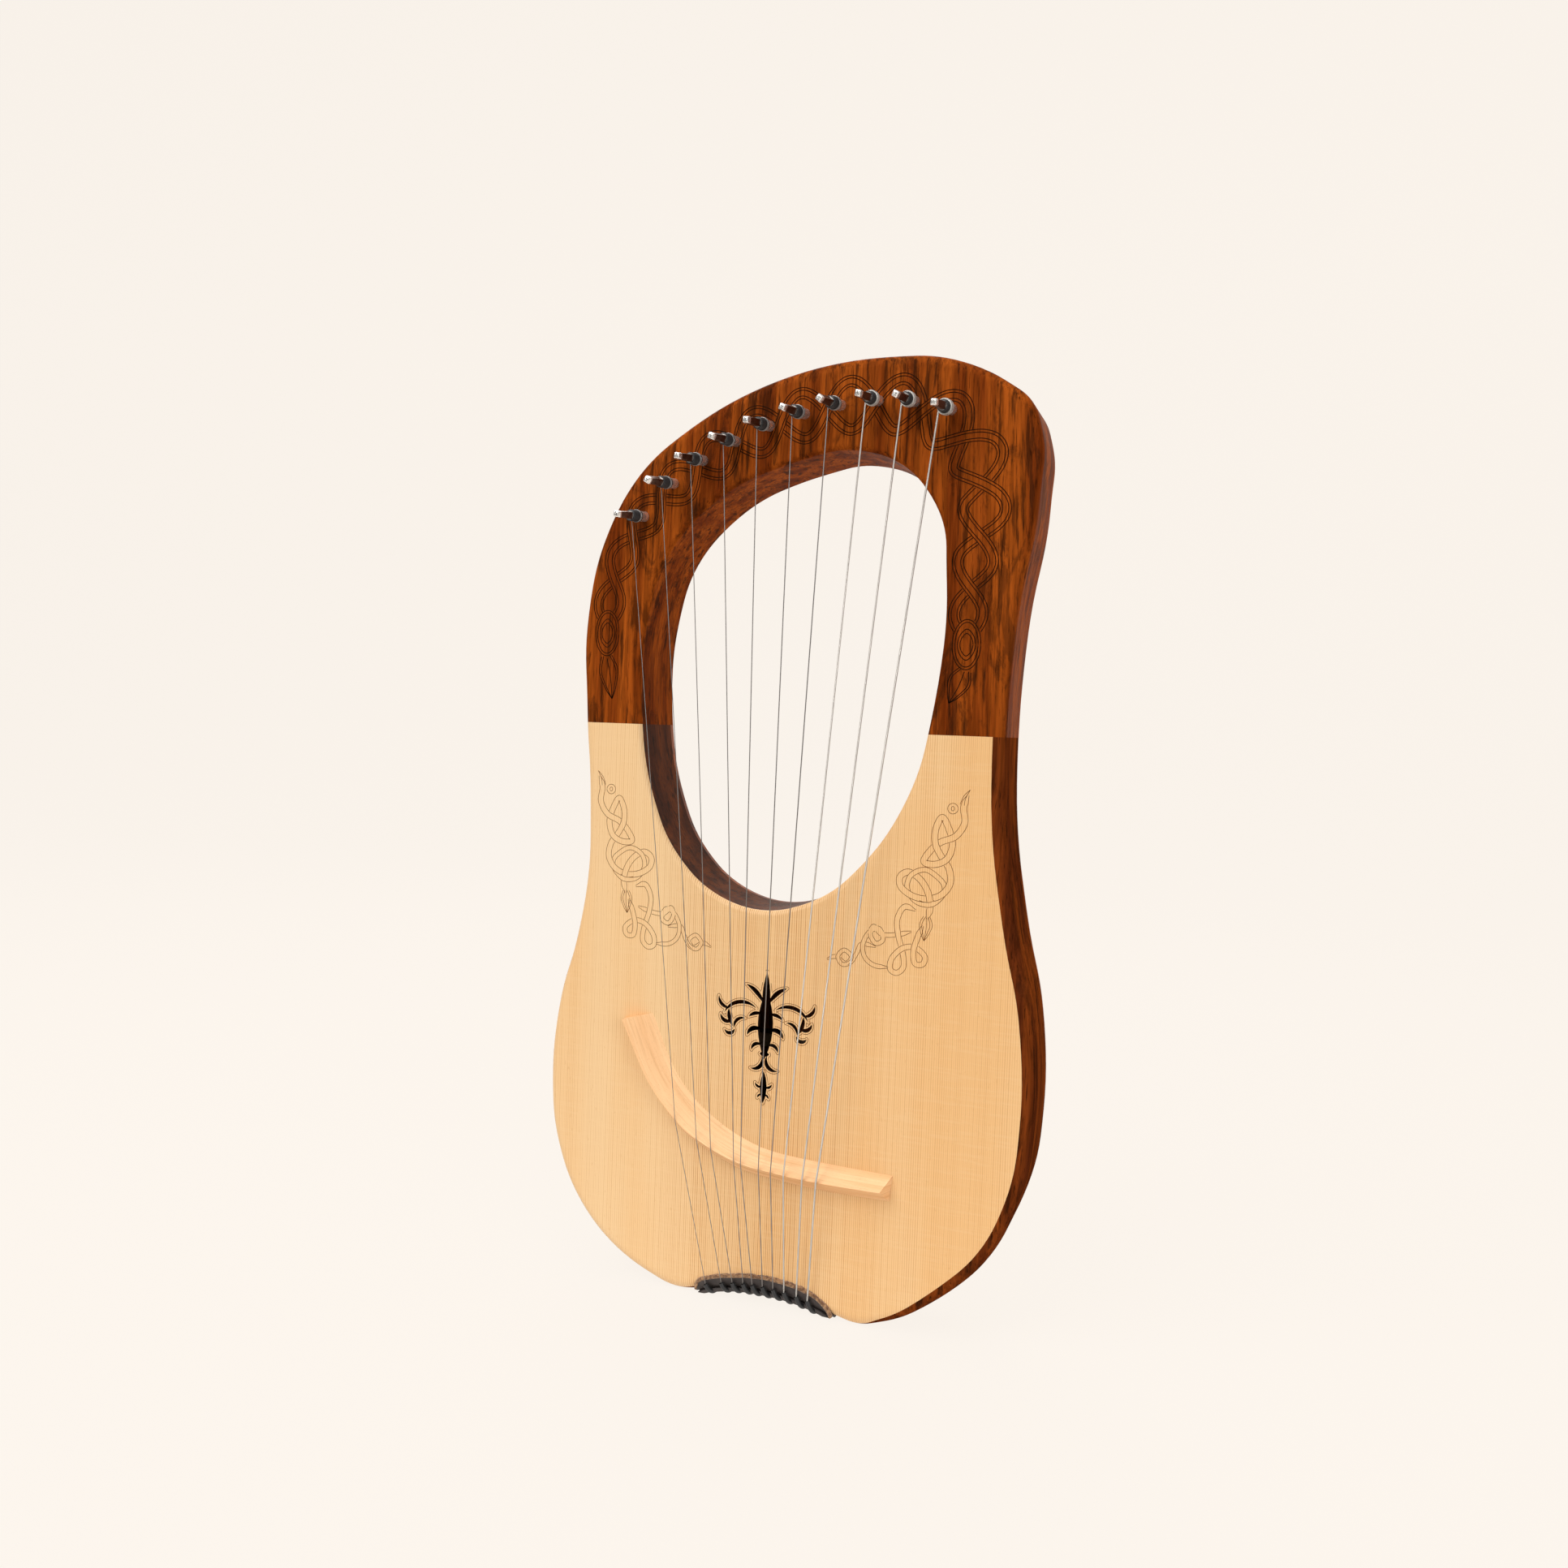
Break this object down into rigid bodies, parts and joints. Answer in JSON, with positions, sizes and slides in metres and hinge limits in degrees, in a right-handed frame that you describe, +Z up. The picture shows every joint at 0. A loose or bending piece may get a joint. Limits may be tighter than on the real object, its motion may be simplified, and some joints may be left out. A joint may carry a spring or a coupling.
{
  "type": "plucked lyre",
  "caption": "Hand-held plucked lyre: dark yoke round a hand opening above a hollow body with a pale soundboard, curved bridge, strings and turning tuning pins.",
  "frame": {"origin": "middle of the bounding box's base, on the plane the two feet stand on", "axes": "+Z up along the strings, -Y out of the soundboard towards the player, +X to the bass strings"},
  "size_m": [0.2984, 0.08, 0.5471],
  "materials": {
    "rosewood": "satin oil",
    "spruce": "satin oil",
    "inner_wood": "raw",
    "beech": "satin oil",
    "leather": "matte",
    "sleeve_plastic": "matte",
    "hitch_steel": "satin",
    "string_steel": "polished",
    "string_wound": "fine wound",
    "pin_nickel": "polished",
    "band_black": "ribbed"
  },
  "bodies": {
    "lyre_body": {"yoke": "rosewood", "rim_left": "rosewood", "rim_right": "rosewood", "inner_rim": "rosewood", "back_plate": "rosewood", "soundboard": "spruce", "end_block": "inner_wood", "lining_outer_front": "inner_wood", "lining_outer_back": "inner_wood", "lining_inner_front": "inner_wood", "lining_inner_back": "inner_wood", "brace_upper": "inner_wood", "brace_lower": "inner_wood", "brace_back": "inner_wood", "bridge_patch": "inner_wood", "bridge": "beech", "leather_patch": "leather", "hitch_pins": "hitch_steel", "edge_sleeves": "sleeve_plastic", "string_1": "string_steel", "string_2": "string_steel", "string_3": "string_steel", "string_4": "string_steel", "string_5": "string_steel", "string_6": "string_steel", "string_7": "string_steel", "string_8": "string_wound", "string_9": "string_wound", "string_10": "string_wound"},
    "pin_1": {"tuning_pin_1": "pin_nickel", "pin_band_1": "band_black", "string_coil_1": "string_steel"},
    "pin_2": {"tuning_pin_2": "pin_nickel", "pin_band_2": "band_black", "string_coil_2": "string_steel"},
    "pin_3": {"tuning_pin_3": "pin_nickel", "pin_band_3": "band_black", "string_coil_3": "string_steel"},
    "pin_4": {"tuning_pin_4": "pin_nickel", "pin_band_4": "band_black", "string_coil_4": "string_steel"},
    "pin_5": {"tuning_pin_5": "pin_nickel", "pin_band_5": "band_black", "string_coil_5": "string_steel"},
    "pin_6": {"tuning_pin_6": "pin_nickel", "pin_band_6": "band_black", "string_coil_6": "string_steel"},
    "pin_7": {"tuning_pin_7": "pin_nickel", "pin_band_7": "band_black", "string_coil_7": "string_steel"},
    "pin_8": {"tuning_pin_8": "pin_nickel", "pin_band_8": "band_black", "string_coil_8": "string_wound"},
    "pin_9": {"tuning_pin_9": "pin_nickel", "pin_band_9": "band_black", "string_coil_9": "string_wound"},
    "pin_10": {"tuning_pin_10": "pin_nickel", "pin_band_10": "band_black", "string_coil_10": "string_wound"}
  },
  "joints": [
    {"name": "pin_1_turn", "type": "hinge", "parent": "lyre_body", "child": "pin_1", "pos_m": [-0.09494, -0.00803, 0.4616], "axis": [-0.0777, -0.9906, -0.1121], "range_deg": [-45, 1050]},
    {"name": "pin_2_turn", "type": "hinge", "parent": "lyre_body", "child": "pin_2", "pos_m": [-0.07624, -0.00803, 0.4804], "axis": [-0.0777, -0.9906, -0.1121], "range_deg": [-45, 1050]},
    {"name": "pin_3_turn", "type": "hinge", "parent": "lyre_body", "child": "pin_3", "pos_m": [-0.05784, -0.00803, 0.4931], "axis": [-0.0777, -0.9906, -0.1121], "range_deg": [-45, 1050]},
    {"name": "pin_4_turn", "type": "hinge", "parent": "lyre_body", "child": "pin_4", "pos_m": [-0.03754, -0.00803, 0.5032], "axis": [-0.0777, -0.9906, -0.1121], "range_deg": [-45, 1050]},
    {"name": "pin_5_turn", "type": "hinge", "parent": "lyre_body", "child": "pin_5", "pos_m": [-0.01694, -0.00803, 0.511], "axis": [-0.0777, -0.9906, -0.1121], "range_deg": [-45, 1050]},
    {"name": "pin_6_turn", "type": "hinge", "parent": "lyre_body", "child": "pin_6", "pos_m": [0.00406, -0.00803, 0.5168], "axis": [-0.0777, -0.9906, -0.1121], "range_deg": [-45, 1050]},
    {"name": "pin_7_turn", "type": "hinge", "parent": "lyre_body", "child": "pin_7", "pos_m": [0.02526, -0.00803, 0.5204], "axis": [-0.0777, -0.9906, -0.1121], "range_deg": [-45, 1050]},
    {"name": "pin_8_turn", "type": "hinge", "parent": "lyre_body", "child": "pin_8", "pos_m": [0.04696, -0.00803, 0.5218], "axis": [-0.0777, -0.9906, -0.1121], "range_deg": [-45, 1050]},
    {"name": "pin_9_turn", "type": "hinge", "parent": "lyre_body", "child": "pin_9", "pos_m": [0.06756, -0.00803, 0.5202], "axis": [-0.0777, -0.9906, -0.1121], "range_deg": [-45, 1050]},
    {"name": "pin_10_turn", "type": "hinge", "parent": "lyre_body", "child": "pin_10", "pos_m": [0.08836, -0.00803, 0.5149], "axis": [-0.0777, -0.9906, -0.1121], "range_deg": [-45, 1050]}
  ]
}
